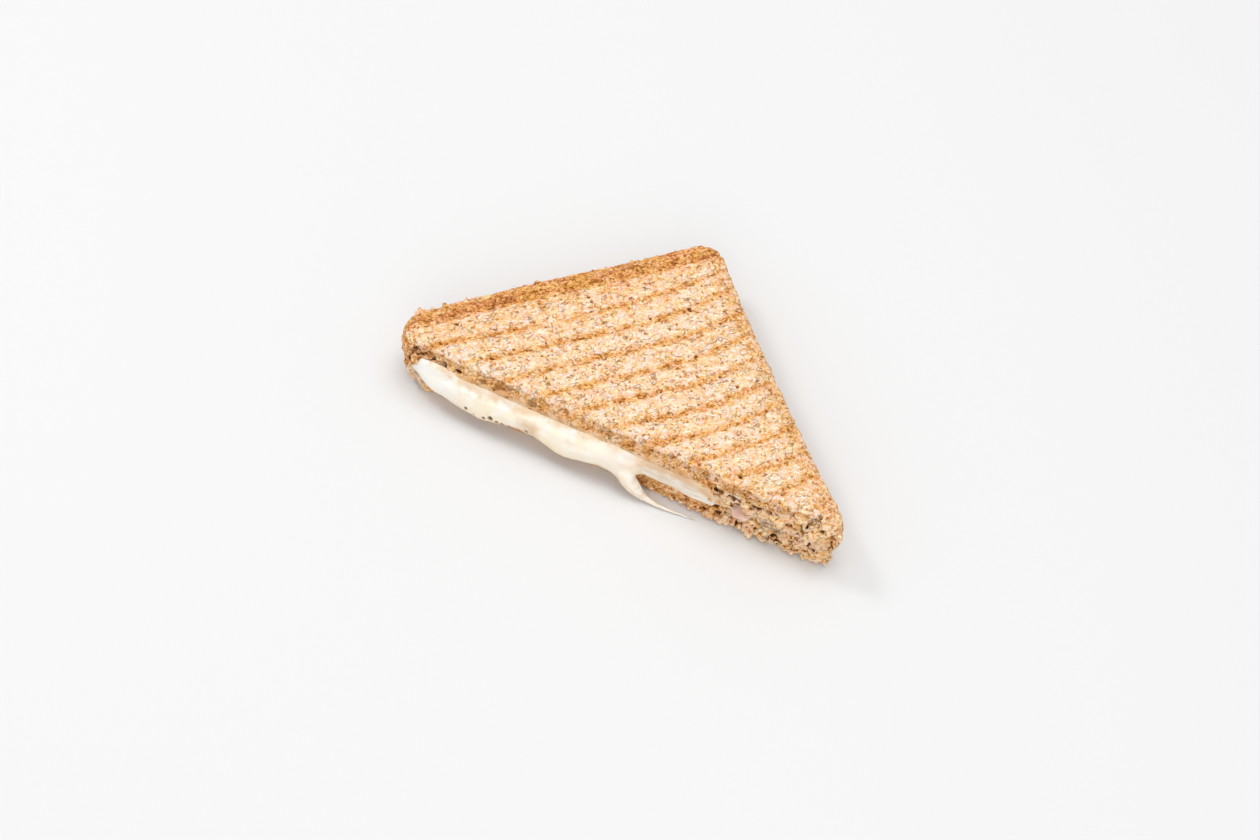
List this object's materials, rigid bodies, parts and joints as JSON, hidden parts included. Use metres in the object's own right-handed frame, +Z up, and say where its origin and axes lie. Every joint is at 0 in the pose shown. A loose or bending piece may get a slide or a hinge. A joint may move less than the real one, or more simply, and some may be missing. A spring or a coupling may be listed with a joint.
{
  "type": "triangle sandwich",
  "caption": "Triangular half of a grilled toast sandwich with ham and melted cheese, lying flat on its bottom slice.",
  "frame": {"origin": "middle of the sandwich's footprint, at the height of the surface it lies on", "axes": "+Z up; the long cut runs along X and its open side faces -Y; the right-angled corner of the bread points to +Y; the tip that the grill marks' side runs to is at -X"},
  "size_m": [0.1438, 0.0858, 0.0203],
  "materials": {
    "bread": "dry toasted wholemeal crumb and crust with browned grill marks",
    "cheese": "smooth melted cheese with a soft gloss",
    "ham": "moist cooked ham"
  },
  "bodies": {
    "root": {"bread_bottom": "bread", "bread_top": "bread", "ham": "ham", "cheese": "cheese"}
  },
  "joints": []
}
